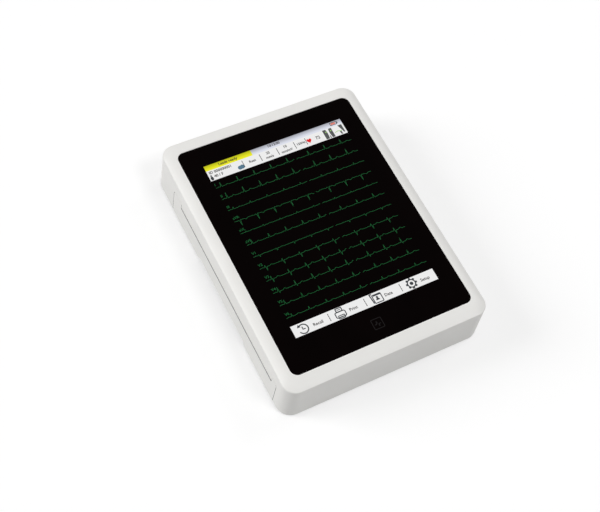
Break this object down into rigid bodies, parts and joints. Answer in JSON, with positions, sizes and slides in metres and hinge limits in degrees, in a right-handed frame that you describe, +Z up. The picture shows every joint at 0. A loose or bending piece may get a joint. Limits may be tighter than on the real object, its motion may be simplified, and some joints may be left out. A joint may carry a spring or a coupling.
{
  "type": "ecg machine",
  "caption": "Tablet ECG recorder with a portrait touch screen in a deep white case, and a side drawer for fan-fold paper under a thermal print head.",
  "frame": {"origin": "on the table under the middle of the case", "axes": "+Z up out of the screen, +Y towards the screen's top edge, +X to the screen's right"},
  "size_m": [0.2291, 0.305, 0.057],
  "materials": {
    "case_white": "fine moulded texture",
    "glass_black": "polished, black behind",
    "display": "gloss",
    "tape_black": "matt foam tape",
    "steel_sheet": "zinc plated",
    "steel_turned": "turned",
    "aluminium": "extruded",
    "ceramic": "glazed strip",
    "rubber_black": "matt",
    "gear_plastic": "natural",
    "bush_bronze": "sintered",
    "tray_plastic": "fine moulded texture",
    "paper": "thermal, printed grid",
    "board_green": "solder mask",
    "black_plastic": "moulded",
    "nickel": "nickel plated",
    "battery_wrap": "shrink sleeve",
    "ribbon": "flat cable",
    "button_grey": "moulded",
    "brass_plain": "turned"
  },
  "bodies": {
    "housing": {"front_housing": "case_white", "rear_cover": "case_white", "battery_cover": "case_white", "cover_glass": "glass_black", "glass_tape": "tape_black", "touch_film": "display", "lcd_panel": "display", "lcd_frame": "steel_sheet", "lcd_frame_screws": "steel_turned", "lcd_ribbon": "ribbon", "drawer_rails": "gear_plastic", "drawer_catch": "steel_sheet", "idler_axle": "steel_turned", "stepper_motor": "steel_sheet", "printer_chassis": "steel_sheet", "chassis_screws": "steel_turned", "paper_sensor": "black_plastic", "head_springs": "steel_sheet", "tear_bar": "steel_sheet", "main_board": "board_green", "main_board_chips": "black_plastic", "board_standoffs": "brass_plain", "io_board": "board_green", "ecg_board": "board_green", "ecg_shield": "nickel", "power_board": "board_green", "power_board_parts": "black_plastic", "io_ribbon": "ribbon", "speaker": "black_plastic", "patient_socket": "black_plastic", "jack_screws": "nickel", "network_socket": "black_plastic", "usb_sockets": "nickel", "dc_socket": "black_plastic", "battery_pack": "battery_wrap", "battery_cover_screws": "steel_turned", "power_switch": "black_plastic", "switch_board": "board_green", "case_screws": "steel_turned", "feet": "rubber_black"},
    "drawer": {"drawer_front": "case_white", "drawer_tray": "tray_plastic", "drawer_screws": "steel_turned", "paper_pack": "paper", "platen_bushes": "bush_bronze"},
    "platen": {"platen_shaft": "steel_turned", "platen_rubber": "rubber_black", "platen_gear": "gear_plastic"},
    "idler": {"idler_gear": "gear_plastic"},
    "motor_rotor": {"motor_shaft": "steel_turned", "motor_pinion": "brass_plain"},
    "print_head": {"head_heat_sink": "aluminium", "head_heater_bar": "ceramic", "head_pivot_pins": "steel_turned"},
    "button": {"power_button": "button_grey"}
  },
  "joints": [
    {"name": "drawer_slide", "type": "slide", "parent": "housing", "child": "drawer", "axis": [-1, 0, 0], "range_m": [0, 0.12]},
    {"name": "platen_spin", "type": "hinge", "parent": "drawer", "child": "platen", "pos_m": [-0.101, 0, 0.0228], "axis": [0, 1, 0], "continuous": true},
    {"name": "idler_spin", "type": "hinge", "parent": "housing", "child": "idler", "pos_m": [-0.0817, 0.1005, 0.0228], "axis": [0, 1, 0], "continuous": true},
    {"name": "motor_spin", "type": "hinge", "parent": "housing", "child": "motor_rotor", "pos_m": [-0.06427, 0.1005, 0.02587], "axis": [0, 1, 0], "continuous": true},
    {"name": "head_tilt", "type": "hinge", "parent": "housing", "child": "print_head", "pos_m": [-0.087, 0, 0.034], "axis": [0, 1, 0], "range_deg": [0, 3], "stiffness_Nm_per_rad": 2, "springref_deg": -8.59, "deforming": ["head_springs"]},
    {"name": "power_press", "type": "slide", "parent": "housing", "child": "button", "axis": [-1, 0, 0], "range_m": [0, 0.001], "stiffness_N_per_m": 800, "springref_m": -0.001}
  ],
  "couplings": [
    {"joint": "idler_spin", "follows": "platen_spin", "ratio": -0.6},
    {"joint": "motor_spin", "follows": "platen_spin", "ratio": 1.2857}
  ]
}
